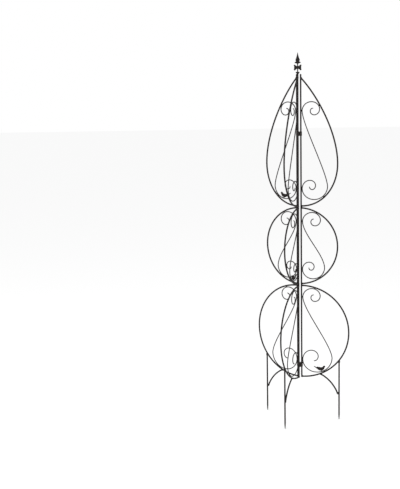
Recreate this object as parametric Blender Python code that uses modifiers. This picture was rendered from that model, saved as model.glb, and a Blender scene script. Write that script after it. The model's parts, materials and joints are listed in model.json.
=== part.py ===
"""Garden obelisk: three rod-work wings that swivel on their own stiles in two clips.

Each wing is a flat panel of welded round rod: a straight stile, a teardrop bow, a middle and a
lower half-round bow, an S-scroll of thinner wire in each bow, a pointed leg with a curved brace,
and a small cast bird. The near wing's stile also carries a cast spear finial.
Units are metres. +Z is up and the feet stand on Z = 0.
"""

import math

import bmesh
import bpy
from mathutils import Matrix, Vector
from mathutils.geometry import interpolate_bezier

# Stock
ROD = 0.004  # radius of the frame rod
WIRE = 0.0025  # radius of the scroll wire
GAP = 0.0003  # clearance between neighbouring pieces
ROD_SIDES = 12

# Wings: bearing of the stile's seat in the clips, and of the wing, counter-clockwise from +X
WINGS = {
    "right": (15.0, -10.0),
    "near": (-105.0, -111.5),
    "left": (135.0, 147.0),
}
FINIAL_WING = "near"
SEAT_CIRCLE = 0.012  # radius of the circle that the three stiles stand on

# Heights along a stile
STILE_BOTTOM = 0.2165
STILE_TOP = 1.790
FINIAL_SEAM = 1.773  # the near stile stops here, under its finial

# Bows: where each leaves the stile, and how far it reaches out from it
TEARDROP_TOP = 1.772
TEARDROP_BOTTOM = 1.122
TEARDROP_REACH = 0.187
TEARDROP_WIDEST = 1.339
TEARDROP_TIP_ANGLE = 43.0  # degrees between the bow and the stile at the top
TEARDROP_HANDLES = (0.126, 0.154, 0.118, 0.112)
MIDDLE_TOP = 1.112
MIDDLE_BOTTOM = 0.717
MIDDLE_REACH = 0.187
LOWER_TOP = 0.707
LOWER_BOTTOM = 0.2215
LOWER_REACH = 0.2454
BOW_SEGMENTS = 20

# Scrolls: height and size of the upper curl, then of the lower curl, and the lower one's turns
SCROLLS = {
    "upper": (1.608, 0.0556, 1.2205, 0.0802, 1.50),
    "middle": (1.044, 0.0578, 0.801, 0.0706, 1.50),
    "lower": (0.648, 0.0567, 0.3245, 0.0947, 1.25),
}
UPPER_CURL = (1.0, 0.76, 0.59, 0.40, 0.24, 0.19)  # radius at each quarter turn, by size
LOWER_CURL = (1.0, 0.80, 0.61, 0.395, 0.22, 0.175, 0.155)
UPPER_TURNS = 1.25
STEPS_A_TURN = 12
DIAGONAL_HANDLE = 0.070
DIAGONAL_SEGMENTS = 7

# Legs and braces
LEG_REACH = 0.196
LEG_TOP = 0.305
LEG_TAPER = 0.030  # length of the point
LEG_TIP = 0.0015  # radius of the flat at the point's end
BRACE_START = (0.103, 0.2365)
BRACE_END = (0.1875, 0.140)
BRACE_HANDLES = ((0.038, -0.018), (-0.012, 0.036))

# Birds: the scroll each sits on, and how far out
PERCHES = {"right": ("lower", 0.103), "near": ("middle", 0.072), "left": ("upper", 0.080)}
BIRD_BODY = 0.0090  # radius of the breast, in the wing's plane
BIRD_FLATNESS = 0.92
PERCH_GAP = 0.0005  # between a bird and the wire it is fixed to
PERCH_SAMPLES = 8
BIRD_SPINE = (  # from the perch: out, up, and radius as a share of the breast's
    (-0.036, 0.0200, 0.13),
    (-0.022, 0.0135, 0.30),
    (-0.012, 0.0105, 0.72),
    (-0.001, 0.0095, 1.00),
    (0.008, 0.0140, 0.84),
    (0.0125, 0.0200, 0.56),
    (0.0155, 0.0238, 0.58),
    (0.0185, 0.0243, 0.30),
    (0.0225, 0.0235, 0.05),
)

# Finial
COLLAR_BOTTOM = 1.7895
COLLAR_TOP = 1.8010
COLLAR_RADIUS = 0.0095
SPEAR_THICKNESS = 0.007
SPEAR_HALF_OUTLINE = (  # out from the centre line, and height
    (0.0030, 1.8013),
    (0.0028, 1.8080),
    (0.0125, 1.8060),
    (0.0205, 1.8110),
    (0.0195, 1.8160),
    (0.0080, 1.8200),
    (0.0080, 1.8235),
    (0.0195, 1.8275),
    (0.0205, 1.8325),
    (0.0125, 1.8370),
    (0.0032, 1.8350),
    (0.0030, 1.8395),
    (0.0165, 1.8450),
    (0.0160, 1.8475),
    (0.0080, 1.8530),
    (0.0115, 1.8575),
    (0.0075, 1.8680),
    (0.0030, 1.8850),
)
SPEAR_POINT = 1.897
STUD = 0.0020  # radius of the stud hidden in the seam
STUD_REACH = 0.014  # how far it goes each way from the seam

# Clips
CLIP_HEIGHTS = {"upper": 1.491, "lower": 0.286}
CLIP_DEPTH = 0.022  # height of the strap and the core
STRAP = 0.0015  # thickness of the strap
CORE = 0.0100  # radius of the core
CORNER_SEGMENTS = 8
CLIP_SCREW_BEARING = -45.0  # midway between the right and near stiles
SCREW = 0.0025
SCREW_HOLE = 0.0028
SCREW_DEPTH = -0.0030  # how far the screw's end lies from the axis, on the head's side
SCREW_HEAD = 0.0048
SCREW_HEAD_HEIGHT = 0.0030

FINISHES = {  # colour, roughness, metallic
    "rod": ((0.045, 0.036, 0.034), 0.42, 0.65),
    "wire": ((0.048, 0.038, 0.036), 0.45, 0.65),
    "casting": ((0.040, 0.032, 0.030), 0.55, 0.60),
    "clip": ((0.050, 0.041, 0.038), 0.40, 0.70),
    "screw": ((0.110, 0.095, 0.088), 0.32, 0.85),
}


def polar(radius, bearing, height=0.0):
    """The point at this radius and bearing, in degrees, from the obelisk's axis."""
    turn = math.radians(bearing)
    return Vector((radius * math.cos(turn), radius * math.sin(turn), height))


def footprint_centre():
    """The middle of the three wings' plan, seen from the axis where the clips are."""
    ends = []
    for seat, bearing in WINGS.values():
        ends.append(polar(SEAT_CIRCLE, seat) + polar(LOWER_REACH, bearing))
    reach = [(end.x, end.y) for end in ends]
    middle = [(max(side) + min(side)) / 2 for side in zip(*reach)]
    return Vector((middle[0], middle[1], 0.0))


def clear_scene():
    for thing in list(bpy.data.objects):
        bpy.data.objects.remove(thing, do_unlink=True)


def collection_named(name):
    made = bpy.data.collections.new(name)
    bpy.context.scene.collection.children.link(made)
    return made


def give_finish(thing, finish):
    colour, roughness, metallic = FINISHES[finish]
    material = bpy.data.materials.new(thing.name)
    material.use_nodes = True
    shader = material.node_tree.nodes["Principled BSDF"]
    shader.inputs["Base Color"].default_value = (*colour, 1.0)
    shader.inputs["Roughness"].default_value = roughness
    shader.inputs["Metallic"].default_value = metallic
    thing.data.materials.append(material)


def place(name, data, finish, parent):
    """Links new data as a named piece that hangs on its parent."""
    thing = bpy.data.objects.new(name, data)
    PIECES.objects.link(thing)
    thing.parent = parent
    give_finish(thing, finish)
    return thing


def empty(name, location, bearing, parent=None):
    made = bpy.data.objects.new(name, None)
    made.empty_display_size = 0.05
    made.location = location
    made.rotation_euler.z = math.radians(bearing)
    made.parent = parent
    PIECES.objects.link(made)
    return made


def tube(name, points, radius, finish, parent, shares=None):
    """A round rod along the points, each (out, up) in the wing's plane."""
    curve = bpy.data.curves.new(name, "CURVE")
    curve.dimensions = "3D"
    curve.bevel_depth = radius
    curve.bevel_resolution = 2
    curve.use_fill_caps = True
    spline = curve.splines.new("POLY")
    spline.points.add(len(points) - 1)
    for i, (out, up) in enumerate(points):
        spline.points[i].co = (out, 0.0, up, 1.0)
        spline.points[i].radius = shares[i] if shares else 1.0
    spline.use_smooth = True
    return place(name, curve, finish, parent)


def smooth_by_angle(mesh):
    mesh.shade_smooth()
    mesh.set_sharp_from_angle(angle=math.radians(35))


def cylinder_mesh(name, radius, low, high, sides, far_radius=None):
    """A cylinder or a cone along Z, between two heights."""
    shape = bmesh.new()
    bmesh.ops.create_cone(
        shape,
        cap_ends=True,
        segments=sides,
        radius1=radius,
        radius2=radius if far_radius is None else far_radius,
        depth=high - low,
        matrix=Matrix.Translation((0.0, 0.0, (low + high) / 2)),
    )
    mesh = bpy.data.meshes.new(name)
    shape.to_mesh(mesh)
    shape.free()
    smooth_by_angle(mesh)
    return mesh


def turned(name, profile, finish, parent, sides=16):
    """A solid turned about Z from (radius, height) points that run from top to bottom."""
    mesh = bpy.data.meshes.new(name)
    points = [(radius, 0.0, height) for radius, height in profile]
    mesh.from_pydata(points, [(i, i + 1) for i in range(len(points) - 1)], [])
    thing = place(name, mesh, finish, parent)
    screw = thing.modifiers.new("Turn", "SCREW")
    screw.steps = sides
    screw.render_steps = sides
    screw.use_merge_vertices = True
    screw.merge_threshold = 0.00001
    return thing


def cut(thing, mesh, matrix=None):
    """Takes a closed mesh, placed in the piece's own frame, out of the piece."""
    cutter = bpy.data.objects.new(f"{thing.name}_cutter", mesh)
    cutter.parent = thing
    if matrix is not None:
        cutter.matrix_local = matrix
    cutter.hide_render = True
    cutter.display_type = "WIRE"
    CUTTERS.objects.link(cutter)
    boolean = thing.modifiers.new("Cut", "BOOLEAN")
    boolean.operation = "DIFFERENCE"
    boolean.object = cutter


def arc_bow(top, bottom, reach):
    """Points of a circle's arc that starts and ends on the stile's centre line."""
    half = (top - bottom) / 2
    radius = (half * half + reach * reach) / (2 * reach)
    centre = Vector((reach - radius, (top + bottom) / 2))
    end = math.acos((radius - reach) / radius)
    angles = [end - 2 * end * i / BOW_SEGMENTS for i in range(BOW_SEGMENTS + 1)]
    return [centre + radius * Vector((math.cos(a), math.sin(a))) for a in angles]


def teardrop_bow():
    """Points of the teardrop: a long easy curve down to its widest place, then a round end."""
    tip, above, below, foot = TEARDROP_HANDLES
    slope = math.radians(TEARDROP_TIP_ANGLE)
    top = Vector((0.0, TEARDROP_TOP))
    widest = Vector((TEARDROP_REACH, TEARDROP_WIDEST))
    bottom = Vector((0.0, TEARDROP_BOTTOM))
    leave = top + tip * Vector((math.sin(slope), -math.cos(slope)))
    half = BOW_SEGMENTS // 2 + 1
    upper = interpolate_bezier(top, leave, widest + Vector((0.0, above)), widest, half)
    turn = widest - Vector((0.0, below))
    lower = interpolate_bezier(widest, turn, bottom + Vector((foot, 0.0)), bottom, half)
    return [p.to_2d() for p in upper] + [p.to_2d() for p in lower[1:]]


def trimmed_to_stile(points):
    """The bow's points with both ends cut back to stand clear of the stile's side."""

    def shortened(run):
        towards = (run[0] - run[1]).normalized()
        clear = ROD + GAP + ROD * abs(towards.y)
        back = (clear - run[0].x) / -towards.x
        return [run[0] - towards * back] + run[1:]

    once = shortened(points)
    return shortened(once[::-1])[::-1]


def curl(eye, size, shares, turns, first_angle):
    """A spiral's points, clockwise from the outside, its radius eased through each quarter."""
    points = []
    steps = round(turns * STEPS_A_TURN)
    for i in range(steps + 1):
        quarter = 4 * i / STEPS_A_TURN
        k = min(int(quarter), len(shares) - 2)
        t = quarter - k
        before = shares[max(k - 1, 0)]
        after = shares[min(k + 2, len(shares) - 1)]
        start, end = shares[k], shares[k + 1]
        pull_in = (end - before) / 2
        pull_out = (after - start) / 2
        share = (
            (2 * t**3 - 3 * t**2 + 1) * start
            + (t**3 - 2 * t**2 + t) * pull_in
            + (3 * t**2 - 2 * t**3) * end
            + (t**3 - t**2) * pull_out
        )
        angle = math.radians(first_angle - 90 * quarter)
        points.append(eye + size * share * Vector((math.cos(angle), math.sin(angle))))
    return points


def scroll_path(section):
    """The S-scroll's points, from the upper curl's eye to the lower curl's."""
    top_height, top_size, low_height, low_size, low_turns = SCROLLS[section]
    touch = ROD + WIRE + GAP
    top_eye = Vector((touch + top_size, top_height))
    low_eye = Vector((touch + low_size * LOWER_CURL[2], low_height))
    upper = curl(top_eye, top_size, UPPER_CURL, UPPER_TURNS, 180)
    lower = curl(low_eye, low_size, LOWER_CURL, low_turns, 0)
    down = Vector((0.0, -DIAGONAL_HANDLE))
    diagonal = interpolate_bezier(
        upper[0], upper[0] + down, lower[0] - down, lower[0], DIAGONAL_SEGMENTS + 1
    )
    return upper[::-1] + [p.to_2d() for p in diagonal[1:-1]] + lower


def leg(name, parent):
    profile = [(0.0, LEG_TOP), (ROD, LEG_TOP), (ROD, LEG_TAPER), (LEG_TIP, 0.0), (0.0, 0.0)]
    thing = turned(name, profile, "rod", parent, ROD_SIDES)
    thing.location.x = LEG_REACH


def brace(name, parent):
    start = Vector(BRACE_START)
    end = Vector(BRACE_END)
    leaving, arriving = (Vector(handle) for handle in BRACE_HANDLES)
    path = interpolate_bezier(start, start + leaving, end + arriving, end, 9)
    tube(name, [p.to_2d() for p in path], ROD, "rod", parent)


def lowest_perch(wire, perch):
    """The height at which a bird this far out just clears the straight runs of wire below it."""
    height = 0.0
    for first, second in zip(wire, wire[1:]):
        for i in range(PERCH_SAMPLES):
            point = first.lerp(second, i / PERCH_SAMPLES)
            for out, up, share in BIRD_SPINE:
                clear = BIRD_BODY * share + WIRE + PERCH_GAP
                across = point.x - perch - out
                if abs(across) < clear:
                    height = max(height, point.y + math.sqrt(clear**2 - across**2) - up)
    return height


def bird(name, section, perch, parent):
    """A small cast bird that faces outwards on the scroll's bottom arc."""
    path = scroll_path(section)
    halfway = (SCROLLS[section][2] + min(p.y for p in path)) / 2
    foot = Vector((perch, lowest_perch([p for p in path if p.y < halfway], perch)))
    points = [foot + Vector((out, up)) for out, up, _ in BIRD_SPINE]
    thing = tube(name, points, BIRD_BODY, "casting", parent, [share for *_, share in BIRD_SPINE])
    thing.scale.y = BIRD_FLATNESS


def wing(side):
    """All of one wing, on an empty that stands on its stile's axis."""
    seat, bearing = WINGS[side]
    hinge = empty(f"{side}_wing", AXIS + polar(SEAT_CIRCLE, seat), bearing)
    top = FINIAL_SEAM - GAP / 2 if side == FINIAL_WING else STILE_TOP
    mesh = cylinder_mesh(f"{side}_stile", ROD, STILE_BOTTOM, top, ROD_SIDES)
    stile = place(f"{side}_stile", mesh, "rod", hinge)
    bows = {
        "teardrop": teardrop_bow(),
        "middle": arc_bow(MIDDLE_TOP, MIDDLE_BOTTOM, MIDDLE_REACH),
        "lower": arc_bow(LOWER_TOP, LOWER_BOTTOM, LOWER_REACH),
    }
    for kind, points in bows.items():
        tube(f"{side}_{kind}_bow", trimmed_to_stile(points), ROD, "rod", hinge)
    for section in SCROLLS:
        tube(f"{side}_{section}_scroll", scroll_path(section), WIRE, "wire", hinge)
    leg(f"{side}_leg", hinge)
    brace(f"{side}_brace", hinge)
    bird(f"{side}_bird", *PERCHES[side], hinge)
    if side == FINIAL_WING:
        bore = cylinder_mesh("stile_bore", STUD + GAP, FINIAL_SEAM - STUD_REACH - GAP, top + GAP, 12)
        cut(stile, bore)
        finial(hinge)


def finial(hinge):
    """The spear casting on its collar and stem, held to the stile by a hidden stud."""
    stem_top = COLLAR_BOTTOM - GAP
    stem_mesh = cylinder_mesh("finial_stem", ROD, FINIAL_SEAM + GAP / 2, stem_top, ROD_SIDES)
    stem = place("finial_stem", stem_mesh, "casting", hinge)
    cut(stem, cylinder_mesh("stem_bore", STUD + GAP, FINIAL_SEAM - GAP, FINIAL_SEAM + STUD_REACH + GAP, 12))
    stud = cylinder_mesh("finial_stud", STUD, FINIAL_SEAM - STUD_REACH, FINIAL_SEAM + STUD_REACH, 8)
    place("finial_stud", stud, "screw", hinge)
    profile = [
        (0.0, COLLAR_TOP),
        (COLLAR_RADIUS * 0.55, COLLAR_TOP),
        (COLLAR_RADIUS, COLLAR_TOP - 0.0030),
        (COLLAR_RADIUS, COLLAR_TOP - 0.0055),
        (ROD, COLLAR_BOTTOM),
        (0.0, COLLAR_BOTTOM),
    ]
    turned("finial_collar", profile, "casting", hinge)
    right_side = [Vector(point) for point in SPEAR_HALF_OUTLINE]
    left_side = [Vector((-p.x, p.y)) for p in right_side]
    outline = right_side + [Vector((0.0, SPEAR_POINT))] + left_side[::-1]
    curve = bpy.data.curves.new("finial_spear", "CURVE")
    curve.dimensions = "2D"
    curve.fill_mode = "BOTH"
    curve.extrude = SPEAR_THICKNESS / 2
    spline = curve.splines.new("POLY")
    spline.points.add(len(outline) - 1)
    for i, point in enumerate(outline):
        spline.points[i].co = (point.x, point.y, 0.0, 1.0)
    spline.use_cyclic_u = True
    spear = place("finial_spear", curve, "casting", hinge)
    spear.rotation_euler = (math.radians(90), 0.0, math.radians(90))


def strap_outline():
    """The strap's inner line: three corners round the stiles, joined by straight sides."""
    corner = ROD + GAP
    points = []
    for seat, _ in sorted(WINGS.values()):
        for i in range(CORNER_SEGMENTS + 1):
            angle = seat - 60 + 120 * i / CORNER_SEGMENTS
            points.append(polar(SEAT_CIRCLE, seat) + polar(corner, angle))
    return points


def clip(name, height):
    """A strap bent round the stiles, a grooved core between them, and the screw that pulls up."""
    centre = empty(f"{name}_clip", AXIS + Vector((0.0, 0.0, height)), 0.0)
    low, high = -CLIP_DEPTH / 2, CLIP_DEPTH / 2
    into_side = Matrix.Rotation(math.radians(CLIP_SCREW_BEARING), 4, "Z") @ Matrix.Rotation(
        math.radians(90), 4, "Y"
    )
    hole = cylinder_mesh("screw_hole", SCREW_HOLE, SCREW_DEPTH - GAP, 2 * CORE, 16)

    shape = bmesh.new()
    line = strap_outline()
    lower = [shape.verts.new((p.x, p.y, low)) for p in line]
    upper = [shape.verts.new((p.x, p.y, high)) for p in line]
    for i in range(len(line)):
        j = (i + 1) % len(line)
        shape.faces.new((lower[i], lower[j], upper[j], upper[i]))
    mesh = bpy.data.meshes.new(f"{name}_clip_strap")
    shape.to_mesh(mesh)
    shape.free()
    strap = place(f"{name}_clip_strap", mesh, "clip", centre)
    wall = strap.modifiers.new("Wall", "SOLIDIFY")
    wall.thickness = STRAP
    wall.offset = 1.0
    wall.use_even_offset = True
    cut(strap, hole, into_side)

    core = place(f"{name}_clip_core", cylinder_mesh(f"{name}_clip_core", CORE, low, high, 32), "clip", centre)
    for seat, _ in WINGS.values():
        groove = cylinder_mesh("groove", ROD + GAP, 2 * low, 2 * high, 16)
        cut(core, groove, Matrix.Translation(polar(SEAT_CIRCLE, seat)))
    cut(core, hole, into_side)

    head = SEAT_CIRCLE * math.cos(math.radians(60)) + ROD + GAP + STRAP + GAP
    profile = [
        (0.0, head + SCREW_HEAD_HEIGHT),
        (SCREW_HEAD * 0.70, head + SCREW_HEAD_HEIGHT),
        (SCREW_HEAD, head + SCREW_HEAD_HEIGHT * 0.35),
        (SCREW_HEAD, head),
        (SCREW, head),
        (SCREW, SCREW_DEPTH),
        (0.0, SCREW_DEPTH),
    ]
    screw = turned(f"{name}_clip_screw", profile, "screw", centre)
    screw.matrix_local = into_side


clear_scene()
PIECES = collection_named("Garden obelisk")
CUTTERS = collection_named("Cutters")
AXIS = -footprint_centre()
for wing_side in WINGS:
    wing(wing_side)
for clip_name, clip_height in CLIP_HEIGHTS.items():
    clip(clip_name, clip_height)
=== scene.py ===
"""Looks of the garden obelisk: fine round rods, welds, cast birds and finial, and painted metal.

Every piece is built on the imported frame. A wing's pieces are drawn in its own plane, as (out, up)
from its stile's axis, and then stood where the frame's stile and leg say. Units are metres.
"""

import json
import math

import bmesh
import bpy
from mathutils import Matrix, Vector, noise
from mathutils.geometry import interpolate_bezier

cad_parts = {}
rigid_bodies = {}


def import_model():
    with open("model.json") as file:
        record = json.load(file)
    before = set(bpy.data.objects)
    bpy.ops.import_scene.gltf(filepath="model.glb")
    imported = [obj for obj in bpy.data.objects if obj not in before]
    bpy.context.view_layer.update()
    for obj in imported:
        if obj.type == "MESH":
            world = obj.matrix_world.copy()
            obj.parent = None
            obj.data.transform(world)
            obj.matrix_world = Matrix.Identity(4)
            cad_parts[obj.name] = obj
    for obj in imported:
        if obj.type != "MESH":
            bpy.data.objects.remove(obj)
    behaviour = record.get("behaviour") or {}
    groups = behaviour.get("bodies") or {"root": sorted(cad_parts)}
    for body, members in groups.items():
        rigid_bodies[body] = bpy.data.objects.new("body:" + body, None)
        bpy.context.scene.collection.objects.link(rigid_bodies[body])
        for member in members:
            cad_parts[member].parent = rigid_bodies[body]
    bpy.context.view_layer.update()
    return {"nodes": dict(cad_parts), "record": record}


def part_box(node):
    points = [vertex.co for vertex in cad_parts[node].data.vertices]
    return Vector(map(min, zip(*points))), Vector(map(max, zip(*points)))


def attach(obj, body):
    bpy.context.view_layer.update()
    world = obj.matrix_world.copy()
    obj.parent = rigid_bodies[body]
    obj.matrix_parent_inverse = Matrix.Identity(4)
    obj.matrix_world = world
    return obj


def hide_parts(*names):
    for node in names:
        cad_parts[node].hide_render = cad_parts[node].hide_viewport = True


SIDES = ("right", "near", "left")

# Stock and forms, as the frame has them
ROD = 0.004
WIRE = 0.0025
ROD_SIDES = 20
WIRE_SIDES = 16
STEP = 0.003  # spacing of the points along a rod
TEARDROP = {  # handles: at the tip, above the widest place, below it, and at the foot
    "top": 1.772,
    "bottom": 1.122,
    "reach": 0.187,
    "widest": 1.339,
    "tip_angle": 43.0,
    "handles": (0.126, 0.154, 0.118, 0.112),
}
# Top, bottom and reach of each round bow
ROUND_BOWS = {"middle": (1.112, 0.717, 0.187), "lower": (0.707, 0.2215, 0.2454)}
SCROLLS = {  # height and size of the upper curl, of the lower curl, and the lower curl's turns
    "upper": (1.608, 0.0556, 1.2205, 0.0802, 1.50),
    "middle": (1.044, 0.0578, 0.801, 0.0706, 1.50),
    "lower": (0.648, 0.0567, 0.3245, 0.0947, 1.25),
}
# A curl's radius at each quarter turn from its outside, in its size
UPPER_CURL = (1.0, 0.76, 0.59, 0.40, 0.24, 0.19)
LOWER_CURL = (1.0, 0.80, 0.61, 0.395, 0.22, 0.175, 0.155)
UPPER_TURNS = 1.25
CURL_TOUCH = 0.0068  # from the stile's axis to a curl's wire where they meet
DIAGONAL_HANDLE = 0.070
# The brace's start and end, and its handles from them, as (out, up)
BRACE = ((0.103, 0.2365), (0.1875, 0.140), ((0.038, -0.018), (-0.012, 0.036)))
LEG_TAPER = 0.030
LEG_TIP = 0.0015
FORGED_THIN = 0.16  # the share by which the wire thins at its cut ends
FORGED_LENGTH = 0.012
DOME = 0.55  # height of a rod's rounded end, in radii
DOME_RINGS = 4
STILE_SIDES = 24
TURNED_SIDES = 32

# Welds
FLARE = 0.0015  # how much a rod's end swells where it is welded square to another
FLARE_LENGTH = 0.005
# A bead's half length, half width and half depth
TOUCH_BEAD = (0.0036, 0.0021, 0.0021)  # where a curl touches
LEG_BEAD = (0.0068, 0.0050, 0.0046)  # between the leg's top and the lower bow
BRACE_TOP_BEAD = (0.0070, 0.0040, 0.0044)
BRACE_FOOT_BEAD = (0.0075, 0.0034, 0.0036)
BOW_SHARE = 0.44  # the bead's place on the way from a curl's line to its bow's
STILE_SHARE = 0.60  # the same, from the stile's axis to a curl's line
CLEAR_OF_STILE = 0.03  # a curl meets its bow further out than this
WOBBLE = 0.16  # how uneven a bead is


# ---------------------------------------------------------------- shared mesh work


def linked(name, mesh):
    thing = bpy.data.objects.new(name, mesh)
    bpy.context.scene.collection.objects.link(thing)
    return thing


def mesh_of(name, shape, sharp_degrees=38):
    """Turns a bmesh into a smooth-shaded mesh."""
    bmesh.ops.recalc_face_normals(shape, faces=shape.faces)
    mesh = bpy.data.meshes.new(name)
    shape.to_mesh(mesh)
    shape.free()
    mesh.shade_smooth()
    mesh.set_sharp_from_angle(angle=math.radians(sharp_degrees))
    return mesh


def apply_modifiers(thing):
    graph = bpy.context.evaluated_depsgraph_get()
    mesh = bpy.data.meshes.new_from_object(thing.evaluated_get(graph))
    old = thing.data
    thing.modifiers.clear()
    thing.data = mesh
    bpy.data.meshes.remove(old)


def finished(thing, body, slot, nodes=()):
    """Puts a piece on its body, with its finish, in place of the CAD nodes it stands for."""
    thing.data.materials.clear()
    thing.data.materials.append(MATERIALS[slot])
    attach(thing, body)
    for node in nodes:
        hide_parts(node)
    return thing


def fuse(thing, voxel, passes):
    """Melts a piece's overlapping forms into one skin, and softens it."""
    skin_over = thing.modifiers.new("Skin", "REMESH")
    skin_over.mode = "VOXEL"
    skin_over.voxel_size = voxel
    soften = thing.modifiers.new("Soften", "SMOOTH")
    soften.iterations = passes
    soften.factor = 0.5
    apply_modifiers(thing)
    thing.data.shade_smooth()


def centre_of(node):
    low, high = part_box(node)
    return (low + high) / 2


def eased(before, start, end, after, t):
    """The smooth curve from start to end at t, from 0 to 1, with slopes from their neighbours."""
    return (
        (2 * t**3 - 3 * t**2 + 1) * start
        + (t**3 - 2 * t**2 + t) * (end - before) / 2
        + (3 * t**2 - 2 * t**3) * end
        + (t**3 - t**2) * (after - start) / 2
    )


def around(sides):
    return [2 * math.pi * j / sides for j in range(sides)]


def skin(shape, rings):
    """Faces between each ring of vertices and the next, and a cap at each end."""
    for ring, after in zip(rings, rings[1:]):
        for j in range(len(ring)):
            k = (j + 1) % len(ring)
            shape.faces.new((ring[j], ring[k], after[k], after[j]))
    shape.faces.new(rings[0][::-1])
    shape.faces.new(rings[-1])


def ring_across(shape, centre, along, high, wide, sides):
    """A ring of vertices square to a line in the wing's plane."""
    across = Vector((-along.y, along.x))
    ring = []
    for angle in around(sides):
        flat = centre + across * (high * math.cos(angle))
        ring.append(shape.verts.new((flat.x, wide * math.sin(angle), flat.y)))
    return ring


def turned_rings(shape, profile):
    """Rings of vertices about the Z axis, one for each (radius, height)."""
    rings = []
    for radius, height in profile:
        ring = []
        for angle in around(TURNED_SIDES):
            spot = (radius * math.cos(angle), radius * math.sin(angle), height)
            ring.append(shape.verts.new(spot))
        rings.append(ring)
    return rings


def resampled(points, step):
    """The same line with points an even step apart."""
    lengths = [0.0]
    for a, b in zip(points, points[1:]):
        lengths.append(lengths[-1] + (b - a).length)
    count = max(2, round(lengths[-1] / step))
    even = []
    k = 0
    for i in range(count + 1):
        target = lengths[-1] * i / count
        while k < len(lengths) - 2 and lengths[k + 1] < target:
            k += 1
        span = lengths[k + 1] - lengths[k]
        even.append(points[k].lerp(points[k + 1], (target - lengths[k]) / span if span else 0.0))
    return even


def add_tube(shape, path, radius, sides, round_start=False, round_end=False):
    """A round rod along (out, up) points. radius is a function of the distance and the length."""
    distances = [0.0]
    for a, b in zip(path, path[1:]):
        distances.append(distances[-1] + (b - a).length)
    total = distances[-1]
    rings = []
    for i, centre in enumerate(path):
        before = path[max(i - 1, 0)]
        after = path[min(i + 1, len(path) - 1)]
        along = (after - before).normalized()
        rings.append((centre, along, radius(distances[i], total)))
    if round_start:
        rings = domed(rings[0], -1)[::-1] + rings
    if round_end:
        rings = rings + domed(rings[-1], 1)
    made = [ring_across(shape, centre, along, size, size, sides) for centre, along, size in rings]
    skin(shape, made)


def domed(ring, way):
    """Rings that close a rod's end in a low dome."""
    centre, along, size = ring
    rings = []
    for i in range(1, DOME_RINGS + 1):
        angle = math.radians(90) * i / (DOME_RINGS + 1)
        shift = along * (way * size * DOME * math.sin(angle))
        rings.append((centre + shift, along, size * math.cos(angle)))
    return rings


def plain(size):
    return lambda distance, total: size


def flared_start(distance, total):
    """A rod's radius that swells into a fillet weld where it starts."""
    return ROD + FLARE * max(0.0, 1 - distance / FLARE_LENGTH) ** 2


def add_blob(shape, centre, along, sizes, seed):
    """An uneven bead of weld metal, longest along a line in the wing's plane."""
    half_length, half_width, half_depth = sizes
    blob = bmesh.ops.create_icosphere(shape, subdivisions=3, radius=1.0)["verts"]
    across = Vector((-along.y, along.x))
    for vert in blob:
        wobble = 1.0 + WOBBLE * noise.noise(vert.co * 2.1 + Vector((seed, 0.0, 0.0)))
        length = vert.co.x * half_length * wobble
        width = vert.co.y * half_width * wobble
        flat = centre + along * length + across * width
        vert.co = Vector((flat.x, vert.co.z * half_depth * wobble, flat.y))


# ---------------------------------------------------------------- the wing's lines


def arc_bow(top, bottom, reach):
    half = (top - bottom) / 2
    radius = (half * half + reach * reach) / (2 * reach)
    centre = Vector((reach - radius, (top + bottom) / 2))
    end = math.acos((radius - reach) / radius)
    count = round(2 * end * radius / STEP)
    angles = [end - 2 * end * i / count for i in range(count + 1)]
    return [centre + radius * Vector((math.cos(a), math.sin(a))) for a in angles]


def teardrop_bow():
    tip, above, below, foot = TEARDROP["handles"]
    slope = math.radians(TEARDROP["tip_angle"])
    top = Vector((0.0, TEARDROP["top"]))
    widest = Vector((TEARDROP["reach"], TEARDROP["widest"]))
    bottom = Vector((0.0, TEARDROP["bottom"]))
    leave = top + tip * Vector((math.sin(slope), -math.cos(slope)))
    upper = interpolate_bezier(top, leave, widest + Vector((0.0, above)), widest, 160)
    turn = widest - Vector((0.0, below))
    lower = interpolate_bezier(widest, turn, bottom + Vector((foot, 0.0)), bottom, 120)
    return resampled([p.to_2d() for p in upper] + [p.to_2d() for p in lower[1:]], STEP)


def curl(eye, size, shares, turns, first_angle):
    """A spiral's points, clockwise from the outside, its radius eased through each quarter."""
    points = []
    steps = round(turns * 96)
    for i in range(steps + 1):
        quarter = 4 * turns * i / steps
        k = min(int(quarter), len(shares) - 2)
        t = quarter - k
        before = shares[max(k - 1, 0)]
        after = shares[min(k + 2, len(shares) - 1)]
        share = eased(before, shares[k], shares[k + 1], after, t)
        angle = math.radians(first_angle - 90 * quarter)
        points.append(eye + size * share * Vector((math.cos(angle), math.sin(angle))))
    return points


def scroll_path(section):
    top_height, top_size, low_height, low_size, low_turns = SCROLLS[section]
    top_eye = Vector((CURL_TOUCH + top_size, top_height))
    low_eye = Vector((CURL_TOUCH + low_size * LOWER_CURL[2], low_height))
    upper = curl(top_eye, top_size, UPPER_CURL, UPPER_TURNS, 180)
    lower = curl(low_eye, low_size, LOWER_CURL, low_turns, 0)
    down = Vector((0.0, -DIAGONAL_HANDLE))
    line = interpolate_bezier(upper[0], upper[0] + down, lower[0] - down, lower[0], 120)
    whole = upper[::-1] + [p.to_2d() for p in line[1:-1]] + lower
    return resampled(whole, STEP * 0.8)


def bow_path(section):
    if section == "upper":
        return teardrop_bow()
    return arc_bow(*ROUND_BOWS[section])


def wing_matrix(side):
    """Stands the wing's plane on its stile's axis, towards its leg."""
    stile = centre_of(f"{side}_stile")
    out = centre_of(f"{side}_leg") - stile
    bearing = math.atan2(out.y, out.x)
    return Matrix.Translation((stile.x, stile.y, 0.0)) @ Matrix.Rotation(bearing, 4, "Z")


def leg_reach(side):
    """How far the leg stands out from the stile."""
    stile = centre_of(f"{side}_stile")
    leg = centre_of(f"{side}_leg")
    return math.hypot(leg.x - stile.x, leg.y - stile.y)


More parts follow.
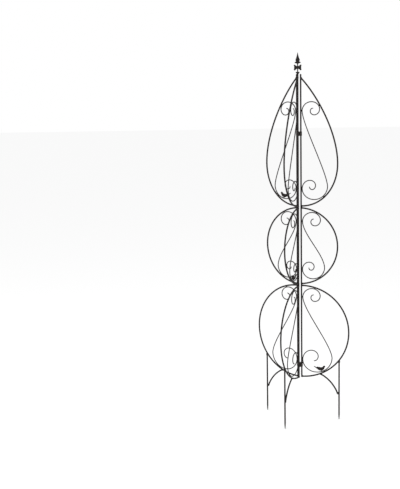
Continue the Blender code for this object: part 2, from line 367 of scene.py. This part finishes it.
def wing_piece(name, side, shape, slot, nodes=()):
    mesh = mesh_of(name, shape)
    mesh.transform(wing_matrix(side))
    return finished(linked(name, mesh), f"{side}_wing", slot, nodes)


# ---------------------------------------------------------------- the wing's pieces


def add_stile(side):
    low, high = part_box(f"{side}_stile")
    shape = bmesh.new()
    ends = [Vector((0.0, low.z + ROD * 0.5)), Vector((0.0, high.z - ROD * 0.5))]
    path = resampled(ends, 0.02)
    add_tube(shape, path, plain(ROD), STILE_SIDES, True, side != "near")
    wing_piece(f"{side}_stile_rod", side, shape, "rod", [f"{side}_stile"])


def add_bows(side):
    names = {"upper": "teardrop", "middle": "middle", "lower": "lower"}
    for section, kind in names.items():
        shape = bmesh.new()
        add_tube(shape, bow_path(section), flared_bow, ROD_SIDES)
        wing_piece(f"{side}_{kind}_hoop", side, shape, "rod", [f"{side}_{kind}_bow"])


def flared_bow(distance, total):
    """The bow's ends run into the stile, and swell into the weld at its face."""
    inside = min(distance, total - distance) - ROD
    return ROD + FLARE * max(0.0, 1 - max(inside, 0.0) / FLARE_LENGTH) ** 2


def add_scrolls(side):
    for section in SCROLLS:
        shape = bmesh.new()
        add_tube(shape, scroll_path(section), wire_radius, WIRE_SIDES, True, True)
        wing_piece(f"{side}_{section}_curls", side, shape, "wire", [f"{side}_{section}_scroll"])


def wire_radius(distance, total):
    """The wire's cut ends are forged a little thinner."""
    near_end = min(distance, total - distance)
    return WIRE * (1 - FORGED_THIN * max(0.0, 1 - near_end / FORGED_LENGTH) ** 2)


def add_leg(side):
    out = leg_reach(side)
    shape = bmesh.new()
    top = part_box(f"{side}_leg")[1].z + ROD * 2.4
    ends = [Vector((out, 0.0)), Vector((out, LEG_TAPER)), Vector((out, top))]

    def radius(distance, total):
        share = min(distance / LEG_TAPER, 1.0)
        eased = share * (1.75 - 0.75 * share)
        swell = max(0.0, 1 - (total - distance - ROD * 2) / FLARE_LENGTH)
        return LEG_TIP + (ROD - LEG_TIP) * eased + FLARE * min(swell, 1.0) ** 2

    add_tube(shape, resampled(ends, 0.002), radius, ROD_SIDES)
    wing_piece(f"{side}_leg_rod", side, shape, "rod", [f"{side}_leg"])


def add_brace(side):
    start, end, (leaving, arriving) = BRACE
    start, end = Vector(start), Vector(end)
    path = interpolate_bezier(start, start + Vector(leaving), end + Vector(arriving), end, 60)
    path = [p.to_2d() for p in path]
    first = (path[0] - path[1]).normalized()
    last = (path[-1] - path[-2]).normalized()
    path = [path[0] + first * ROD * 1.2] + path + [path[-1] + last * ROD * 0.9]
    shape = bmesh.new()
    add_tube(shape, resampled(path, STEP), flared_start, ROD_SIDES, False, True)
    wing_piece(f"{side}_brace_rod", side, shape, "rod", [f"{side}_brace"])


def bow_touch(wire, bow):
    """The points of a curl and of its bow that come closest, clear of the stile."""
    pairs = []
    for p in wire:
        if p.x > CLEAR_OF_STILE:
            pairs.append((p, min(bow, key=lambda q: (q - p).length)))
    return min(pairs, key=lambda pair: (pair[1] - pair[0]).length)


def add_welds(side):
    """Beads where the curls touch, and where the leg and the brace's two ends are welded on."""
    shape = bmesh.new()
    out = leg_reach(side)
    seed = SIDES.index(side) * 40.0
    for section in SCROLLS:
        path = scroll_path(section)[::2]
        bow = bow_path(section)
        middle = (SCROLLS[section][0] + SCROLLS[section][2]) / 2
        for above in (True, False):
            part = [p for p in path if (p.y > middle) == above]
            p, q = bow_touch(part, bow)
            along = Vector((-(q - p).y, (q - p).x)).normalized()
            add_blob(shape, p.lerp(q, BOW_SHARE), along, TOUCH_BEAD, seed)
            touch = min(part, key=lambda point: point.x)
            spot = Vector((touch.x * STILE_SHARE, touch.y))
            add_blob(shape, spot, Vector((0.0, 1.0)), TOUCH_BEAD, seed + 7)
            seed += 3.0
    end = Vector(BRACE[1])
    spot = Vector(((end.x + out) / 2, end.y + 0.001))
    add_blob(shape, spot, Vector((0.12, 1.0)).normalized(), BRACE_FOOT_BEAD, seed)
    crown = Vector((out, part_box(f"{side}_leg")[1].z + ROD * 1.5))
    add_blob(shape, crown, Vector((0.6, 0.8)), LEG_BEAD, seed + 3)
    start = Vector(BRACE[0]) + Vector((-0.002, 0.0035))
    add_blob(shape, start, Vector((0.88, 0.47)), BRACE_TOP_BEAD, seed + 5)
    wing_piece(f"{side}_weld_beads", side, shape, "rod")


# ---------------------------------------------------------------- birds

BIRD_RINGS = (  # along the back: out, up, half height, half width, from the tail's end to the beak
    (-0.0392, 0.0242, 0.0014, 0.0042),
    (-0.0306, 0.0186, 0.0023, 0.0045),
    (-0.0220, 0.0138, 0.0032, 0.0040),
    (-0.0165, 0.0117, 0.0054, 0.0056),
    (-0.0100, 0.0103, 0.0077, 0.0073),
    (-0.0030, 0.0098, 0.0089, 0.0082),
    (0.0030, 0.0112, 0.0089, 0.0081),
    (0.0078, 0.0142, 0.0077, 0.0072),
    (0.0108, 0.0178, 0.0061, 0.0058),
    (0.0132, 0.0212, 0.0056, 0.0054),
    (0.0152, 0.0236, 0.0054, 0.0053),
    (0.0176, 0.0243, 0.0041, 0.0041),
    (0.0192, 0.0242, 0.0019, 0.0019),
    (0.0226, 0.0236, 0.0005, 0.0005),
)
BIRD_PAIRS = {  # one on each side: centre (out, aside, up), half sizes, and tilt in radians
    "folded wing": ((-0.0060, 0.0064, 0.0122), (0.0125, 0.0027, 0.0054), -0.42),
    "wing tip": ((-0.0145, 0.0042, 0.0155), (0.0105, 0.0017, 0.0026), -0.50),
    "wing ridge": ((-0.0035, 0.0083, 0.0108), (0.0085, 0.0012, 0.0018), -0.38),
    "eye": ((0.0158, 0.0049, 0.0250), (0.0010, 0.0009, 0.0010), 0.0),
    "shin": ((0.0010, 0.0024, 0.0010), (0.0013, 0.0012, 0.0034), 0.1),
    "toes": ((0.0026, 0.0024, -0.0010), (0.0036, 0.0014, 0.0013), 0.0),
}
BIRD_TURN = 28  # vertices in each ring of the body
BIRD_EASING = 5  # rings made for each one above
BIRD_VOXEL = 0.00042


def add_ball(shape, centre, sizes, tilt=0.0):
    """An ellipsoid, its long side tilted in the wing's plane."""
    verts = bmesh.ops.create_uvsphere(shape, u_segments=20, v_segments=12, radius=1.0)["verts"]
    turn = Matrix.Rotation(-tilt, 3, "Y")
    for vert in verts:
        scaled = Vector((vert.co.x * sizes[0], vert.co.y * sizes[1], vert.co.z * sizes[2]))
        vert.co = turn @ scaled + Vector(centre)


def eased_rings(rings, steps):
    """More rings between the given ones, along smooth curves through them."""
    rings = [Vector(ring) for ring in rings]
    made = []
    for i in range(len(rings) - 1):
        before = rings[max(i - 1, 0)]
        after = rings[min(i + 2, len(rings) - 1)]
        for step in range(steps):
            made.append(eased(before, rings[i], rings[i + 1], after, step / steps))
    return made + [rings[-1]]


def add_body(shape):
    """The bird's body, head and tail as one skin through its rings."""
    made = []
    rings = eased_rings(BIRD_RINGS, BIRD_EASING)
    for i, (out, up, high, wide) in enumerate(rings):
        before = rings[max(i - 1, 0)]
        after = rings[min(i + 1, len(rings) - 1)]
        along = Vector((after[0] - before[0], after[1] - before[1])).normalized()
        made.append(ring_across(shape, Vector((out, up)), along, high, wide, BIRD_TURN))
    skin(shape, made)


def add_bird(side):
    """A cast bird: body, folded wings, tail, beak, eyes and two feet, placed by its beak's tip."""
    matrix = wing_matrix(side)
    node = frame["nodes"][f"{side}_bird"]
    local = [matrix.inverted() @ vert.co for vert in node.data.vertices]
    beak = max(local, key=lambda p: p.x)
    foot = Vector((beak.x - BIRD_RINGS[-1][0], 0.0, beak.z - BIRD_RINGS[-1][1]))
    shape = bmesh.new()
    add_body(shape)
    for way in (1, -1):
        for (out, aside, up), sizes, tilt in BIRD_PAIRS.values():
            add_ball(shape, (out, way * aside, up), sizes, tilt)
    mesh = mesh_of(f"{side}_bird_cast", shape)
    mesh.transform(matrix @ Matrix.Translation(foot))
    thing = linked(f"{side}_bird_cast", mesh)
    fuse(thing, BIRD_VOXEL, 3)
    finished(thing, f"{side}_wing", "casting", [f"{side}_bird"])


# ---------------------------------------------------------------- finial

SPEAR_STATIONS = (  # height above the collar, half width, half thickness
    (0.0000, 0.0030, 0.0030),
    (0.0080, 0.0030, 0.0030),
    (0.0330, 0.0032, 0.0032),
    (0.0385, 0.0031, 0.0031),
    (0.0405, 0.0066, 0.0030),
    (0.0430, 0.0165, 0.0022),
    (0.0460, 0.0172, 0.0025),
    (0.0488, 0.0122, 0.0034),
    (0.0518, 0.0078, 0.0038),
    (0.0545, 0.0114, 0.0038),
    (0.0563, 0.0124, 0.0036),
    (0.0610, 0.0110, 0.0038),
    (0.0680, 0.0080, 0.0034),
    (0.0780, 0.0045, 0.0027),
    (0.0880, 0.0021, 0.0018),
    (0.0950, 0.0006, 0.0006),
)
SPEAR_SIDES = 20
SPEAR_PINCH = 1.25  # over 1, a section comes to a ridge on each face and an edge at each side
CROSS_HEIGHT = 0.0207
LOBE_OUT = 0.0158
LOBE_UP = 0.0094
# Half sizes of the cross's parts
BOSS = (0.0066, 0.0044, 0.0078)
BAR = (0.0172, 0.0034, 0.0064)
ARM = (0.0100, 0.0030, 0.0040)
LOBE = (0.0050, 0.0036, 0.0048)
END = (0.0034, 0.0030, 0.0098)
CASTING_VOXEL = 0.00045
CUP_PROFILE = (  # share of the height, share of the radius
    (1.0, 0.42),
    (0.97, 0.62),
    (0.93, 0.82),
    (0.80, 1.0),
    (0.66, 0.98),
    (0.50, 0.86),
    (0.30, 0.62),
    (0.0, 0.44),
    (0.0, 0.0),
)
CUP_SPREAD = 0.54  # the cup's radius, in widths of its CAD node
SHANK_PROFILE = (  # past the rod's radius, above the stem's foot: a raised ring at the seam
    (0.0, 0.0035),
    (0.0009, 0.0028),
    (0.0009, 0.0008),
    (0.0003, -0.0002),
)


def add_spear(shape):
    """The blade is a loft of lens-shaped sections with a ridge down each face."""
    made = []
    for height, wide, thick in SPEAR_STATIONS:
        ring = []
        for angle in around(SPEAR_SIDES):
            x = math.copysign(abs(math.cos(angle)) ** SPEAR_PINCH, math.cos(angle)) * wide
            y = math.copysign(abs(math.sin(angle)) ** SPEAR_PINCH, math.sin(angle)) * thick
            ring.append(shape.verts.new((x, y, height)))
        made.append(ring)
    skin(shape, made)


def add_cross(shape):
    """A stout cross bar with a boss, its two ends flared up and down into round lobes."""
    add_ball(shape, (0.0, 0.0, CROSS_HEIGHT), BOSS)
    add_ball(shape, (0.0, 0.0, CROSS_HEIGHT), BAR)
    for way in (1, -1):
        for lift in (1, -1):
            tilt = math.atan2(lift * LOBE_UP, way * LOBE_OUT)
            middle = (way * LOBE_OUT / 2, 0.0, CROSS_HEIGHT + lift * LOBE_UP / 2)
            add_ball(shape, middle, ARM, tilt)
            end = (way * LOBE_OUT, 0.0, CROSS_HEIGHT + lift * LOBE_UP)
            add_ball(shape, end, LOBE, tilt)
        add_ball(shape, (way * LOBE_OUT, 0.0, CROSS_HEIGHT), END)


def add_finial():
    low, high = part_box("finial_spear")
    collar_low, collar_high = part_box("finial_collar")
    stem_low, stem_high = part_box("finial_stem")
    across_wing = wing_matrix("near") @ Matrix.Rotation(math.radians(90), 4, "Z")

    shape = bmesh.new()
    add_spear(shape)
    add_cross(shape)
    mesh = mesh_of("finial_casting", shape)
    stretch = (high.z - low.z) / SPEAR_STATIONS[-1][0]
    taller = Matrix.Scale(stretch, 4, (0, 0, 1))
    mesh.transform(across_wing @ Matrix.Translation((0.0, 0.0, low.z)) @ taller)
    casting = linked("finial_casting", mesh)
    fuse(casting, CASTING_VOXEL, 2)
    finished(casting, "near_wing", "casting", ["finial_spear"])

    depth = collar_high.z - collar_low.z
    radius = (collar_high.x - collar_low.x) * CUP_SPREAD
    profile = [(share * radius, collar_low.z + depth * up) for up, share in CUP_PROFILE]
    turned_piece("finial_cup", profile, ["finial_collar"], "casting")
    profile = [(ROD, stem_high.z + 0.0003)]
    profile += [(ROD + proud, stem_low.z + up) for proud, up in SHANK_PROFILE]
    turned_piece("finial_shank", profile, ["finial_stem"], "casting")


def turned_piece(name, profile, nodes, slot):
    """A solid turned about the near stile's axis, its profile running from the top down."""
    shape = bmesh.new()
    skin(shape, turned_rings(shape, profile)[::-1])
    wing_piece(name, "near", shape, slot, nodes)


# ---------------------------------------------------------------- clips

SCREW_HEAD = 0.0047
SCREW_PROFILE = (  # radius, height above the head's seat
    (0.0016, 0.00295),
    (0.0030, 0.0026),
    (0.0041, 0.0018),
    (SCREW_HEAD, 0.0008),
    (SCREW_HEAD, 0.0),
    (0.0025, 0.0),
    (0.0025, -0.0140),
)
RECESS = (0.0044, 0.0009, 0.0030)  # one slot of the cross: length, width and depth of its cutter
RECESS_HEIGHT = 0.0031
RECESS_TURN = 20
STRAP_GAP = 0.0003  # between a stile and the strap
STRAP_WALL = 0.0015
STRAP_EDGE = 0.0004
STRAP_WRAP = 60  # degrees that the strap wraps a stile, to either side of straight out
STRAP_STEPS = 16


def add_clip_screw(name):
    """A pan-head screw with a cross recess, in the strap's side."""
    centre = centre_of(f"{name}_clip_core")
    middle = centre_of(f"{name}_clip_screw")
    low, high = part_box(f"{name}_clip_screw")
    corner = Vector((high.x - centre.x, low.y - centre.y, 0.0))
    out = corner.normalized()
    face = corner.dot(out) - SCREW_HEAD  # the seat, one head radius in from the box's corner
    shape = bmesh.new()
    skin(shape, turned_rings(shape, SCREW_PROFILE)[::-1])
    stand = out.to_track_quat("Z", "Y").to_matrix().to_4x4()
    place = Matrix.Translation(Vector((centre.x, centre.y, middle.z)) + out * face) @ stand
    mesh = mesh_of(f"{name}_screw", shape)
    mesh.transform(place)
    screw = linked(f"{name}_screw", mesh)
    for quarter in range(2):
        cutter_shape = bmesh.new()
        bmesh.ops.create_cube(cutter_shape, size=1.0)
        cutter = linked(f"{name}_recess_{quarter}", mesh_of("recess", cutter_shape))
        size = Matrix.Diagonal((*RECESS, 1.0))
        turn = Matrix.Rotation(math.radians(90 * quarter + RECESS_TURN), 4, "Z")
        cutter.data.transform(place @ Matrix.Translation((0, 0, RECESS_HEIGHT)) @ turn @ size)
        cut = screw.modifiers.new("Recess", "BOOLEAN")
        cut.object = cutter
        cut.operation = "DIFFERENCE"
        apply_modifiers(screw)
        bpy.data.objects.remove(cutter)
    screw.data.set_sharp_from_angle(angle=math.radians(35))
    finished(screw, "clips", "screw", [f"{name}_clip_screw"])


def add_strap(name):
    """The clip's strip, a closed band with eased edges, bent round the three stiles."""
    low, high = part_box(f"{name}_clip_strap")
    seats = [centre_of(f"{side}_stile").to_2d() for side in SIDES]
    centre = sum(seats, Vector((0.0, 0.0))) / 3
    bearings = sorted(math.atan2((s - centre).y, (s - centre).x) for s in seats)
    seat_circle = (seats[0] - centre).length
    inner, wall, edge = ROD + STRAP_GAP, STRAP_WALL, STRAP_EDGE
    outer = inner + wall
    section = [(inner + edge, low.z), (outer - edge, low.z), (outer, low.z + edge)]
    section += [(outer, high.z - edge), (outer - edge, high.z), (inner + edge, high.z)]
    section += [(inner, high.z - edge), (inner, low.z + edge)]
    shape = bmesh.new()
    loops = []
    for bearing in bearings:
        seat = centre + seat_circle * Vector((math.cos(bearing), math.sin(bearing)))
        for i in range(STRAP_STEPS + 1):
            angle = bearing + math.radians(-STRAP_WRAP + 2 * STRAP_WRAP * i / STRAP_STEPS)
            away = Vector((math.cos(angle), math.sin(angle)))
            ring = []
            for reach, height in section:
                spot = seat + away * reach
                ring.append(shape.verts.new((spot.x, spot.y, height)))
            loops.append(ring)
    for i, ring in enumerate(loops):
        after = loops[(i + 1) % len(loops)]
        for j in range(len(section)):
            k = (j + 1) % len(section)
            shape.faces.new((ring[j], ring[k], after[k], after[j]))
    strap = linked(f"{name}_strip", mesh_of(f"{name}_strip", shape, 50))
    finished(strap, "clips", "clip", [f"{name}_clip_strap"])


# ---------------------------------------------------------------- materials

# Noise over the paint: scale, detail and roughness
CLOUDS = (38, 4, 0.6)
RUBS = (140, 6, 0.7)
FLECKS = (1900, 2, 0.5)
SHEEN = (210, 5, 0.6)
PEEL = (1500, 3, 0.6)
DENTS = (240, 2, 0.6)
PEEL_STRENGTH = 0.45
DENT_STRENGTH = 0.30
DENT_DEPTH = 6  # in depths of the orange peel
GLOSS = 0.22

BROWN = (0.0080, 0.0056, 0.0052)
CAST_BROWN = (0.0078, 0.0056, 0.0052)
CLIP_BROWN = (0.0110, 0.0080, 0.0074)
RUBBED = (0.075, 0.050, 0.040)
STEEL = (0.040, 0.033, 0.030)
RUBBED_STEEL = (0.16, 0.145, 0.13)
FINISHES = {  # colour, colour where rubbed, roughness, metallic, grain in metres, wear
    "rod": (BROWN, RUBBED, 0.42, 0.25, 0.00004, 0.00),
    "wire": (BROWN, RUBBED, 0.44, 0.25, 0.00004, 0.01),
    "casting": (CAST_BROWN, RUBBED, 0.54, 0.25, 0.00010, 0.03),
    "clip": (CLIP_BROWN, RUBBED, 0.40, 0.35, 0.00004, 0.04),
    "screw": (STEEL, RUBBED_STEEL, 0.34, 0.8, 0.00004, 0.06),
}
PALE = 0.95


def painted_metal(name, colour, worn, roughness, metallic, grain, wear):
    """Dark paint over steel: cloudy colour, fine orange peel, and places rubbed thin."""
    material = bpy.data.materials.new(name)
    material.use_nodes = True
    nodes = material.node_tree.nodes
    links = material.node_tree.links
    shader = nodes["Principled BSDF"]
    shader.inputs["Metallic"].default_value = metallic
    shader.inputs["Specular IOR Level"].default_value = GLOSS
    place = nodes.new("ShaderNodeTexCoord")

    def cloud(scale, detail, rough):
        node = nodes.new("ShaderNodeTexNoise")
        node.inputs["Scale"].default_value = scale
        node.inputs["Detail"].default_value = detail
        node.inputs["Roughness"].default_value = rough
        links.new(place.outputs["Object"], node.inputs["Vector"])
        return node.outputs["Fac"]

    def ramp(source, start, end, low, high):
        node = nodes.new("ShaderNodeMapRange")
        node.inputs["From Min"].default_value = start
        node.inputs["From Max"].default_value = end
        node.inputs["To Min"].default_value = low
        node.inputs["To Max"].default_value = high
        links.new(source, node.inputs["Value"])
        return node.outputs["Result"]

    def mix(share, first, second):
        node = nodes.new("ShaderNodeMix")
        node.data_type = "RGBA"
        for socket, value in ((node.inputs[6], first), (node.inputs[7], second)):
            if isinstance(value, tuple):
                socket.default_value = (*value, 1.0)
            else:
                links.new(value, socket)
        links.new(share, node.inputs[0])
        return node.outputs[2]

    darker = tuple(c * 0.60 for c in colour)
    paler = tuple(c * 1.60 for c in colour)
    clouded = mix(ramp(cloud(*CLOUDS), 0.35, 0.65, 0, 1), darker, paler)
    rubbed = ramp(cloud(*RUBS), 0.66 - wear, 0.74 - wear, 0, 0.75)
    flecked = ramp(cloud(*FLECKS), 0.60, 0.72, 0, 0.45)
    painted = mix(flecked, mix(rubbed, clouded, worn), worn)
    links.new(painted, shader.inputs["Base Color"])
    uneven = ramp(cloud(*SHEEN), 0.3, 0.7, roughness - 0.14, roughness + 0.14)
    links.new(uneven, shader.inputs["Roughness"])
    peel = nodes.new("ShaderNodeBump")
    peel.inputs["Strength"].default_value = PEEL_STRENGTH
    peel.inputs["Distance"].default_value = grain
    links.new(cloud(*PEEL), peel.inputs["Height"])
    dents = nodes.new("ShaderNodeBump")
    dents.inputs["Strength"].default_value = DENT_STRENGTH
    dents.inputs["Distance"].default_value = grain * DENT_DEPTH
    links.new(cloud(*DENTS), dents.inputs["Height"])
    links.new(peel.outputs["Normal"], dents.inputs["Normal"])
    links.new(dents.outputs["Normal"], shader.inputs["Normal"])
    return material


def floor_material():
    material = bpy.data.materials.new("pale_floor")
    material.use_nodes = True
    shader = material.node_tree.nodes["Principled BSDF"]
    shader.inputs["Base Color"].default_value = (PALE, PALE, PALE, 1.0)
    shader.inputs["Roughness"].default_value = 0.9
    shader.inputs["Specular IOR Level"].default_value = 0.0
    return material


# ---------------------------------------------------------------- studio

CAMERA_AWAY = 5.234  # from the clips' axis, towards -Y
CAMERA_HEIGHT = 1.718
CAMERA_TURN = 5.60  # degrees to the left of straight on
CAMERA_DIP = 8.58
CAMERA_ROLL = -1.09
FOCAL_WIDTHS = 2.554  # focal length, in widths of the image
SENSOR = 36.0
FLOOR_REACH = 40.0  # from the middle of the floor to each side
LAMPS = (  # name, place, point aimed at, side in metres, watts
    ("key", (-2.6, -3.4, 3.6), (0.0, 0.0, 0.9), 2.0, 55),
    ("fill", (3.2, -2.6, 2.4), (0.0, 0.0, 0.9), 2.8, 14),
    ("top", (0.0, 0.6, 4.6), (0.0, 0.0, 0.8), 3.0, 6),
)


def clips_axis():
    middles = [centre_of(f"{side}_stile") for side in SIDES]
    centre = sum(middles, Vector()) / 3
    return Vector((centre.x, centre.y, 0.0))


def add_camera():
    data = bpy.data.cameras.new("Camera")
    data.sensor_fit = "HORIZONTAL"
    data.sensor_width = SENSOR
    data.lens = FOCAL_WIDTHS * SENSOR
    camera = bpy.data.objects.new("Camera", data)
    bpy.context.scene.collection.objects.link(camera)
    turn = Matrix.Rotation(math.radians(CAMERA_TURN), 4, "Z")
    dip = Matrix.Rotation(math.radians(90 - CAMERA_DIP), 4, "X")
    roll = Matrix.Rotation(math.radians(CAMERA_ROLL), 4, "Z")
    spot = clips_axis() + Vector((0.0, -CAMERA_AWAY, CAMERA_HEIGHT))
    camera.matrix_world = Matrix.Translation(spot) @ turn @ dip @ roll
    bpy.context.scene.camera = camera


def add_light(name, place, aim, size, power):
    data = bpy.data.lights.new(name, "AREA")
    data.shape = "SQUARE"
    data.size = size
    data.energy = power
    light = bpy.data.objects.new(name, data)
    light.location = place
    light.rotation_euler = (Vector(aim) - Vector(place)).to_track_quat("-Z", "Y").to_euler()
    bpy.context.scene.collection.objects.link(light)


def add_studio():
    shape = bmesh.new()
    bmesh.ops.create_grid(shape, x_segments=1, y_segments=1, size=FLOOR_REACH)
    floor = linked("floor", mesh_of("floor", shape))
    floor.data.materials.append(floor_material())
    world = bpy.data.worlds.new("Studio")
    bpy.context.scene.world = world
    world.use_nodes = True
    sky = world.node_tree.nodes["Background"]
    sky.inputs["Color"].default_value = (1.0, 1.0, 1.0, 1.0)
    sky.inputs["Strength"].default_value = 1.0
    for lamp in LAMPS:
        add_light(*lamp)
    bpy.context.scene.view_settings.view_transform = "Standard"


# ---------------------------------------------------------------- the scene

for thing in list(bpy.data.objects):
    bpy.data.objects.remove(thing, do_unlink=True)
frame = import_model()
MATERIALS = {slot: painted_metal(f"{slot}_paint", *finish) for slot, finish in FINISHES.items()}
for entry in frame["record"]["subparts"]:
    node = frame["nodes"][entry["node"]]
    node.data.materials.clear()
    node.data.materials.append(MATERIALS[entry["material_slot"]])
add_camera()
add_studio()
for wing_side in SIDES:
    add_stile(wing_side)
    add_bows(wing_side)
    add_scrolls(wing_side)
    add_leg(wing_side)
    add_brace(wing_side)
    add_welds(wing_side)
    add_bird(wing_side)
add_finial()
for clip_name in ("upper", "lower"):
    add_strap(clip_name)
    add_clip_screw(clip_name)
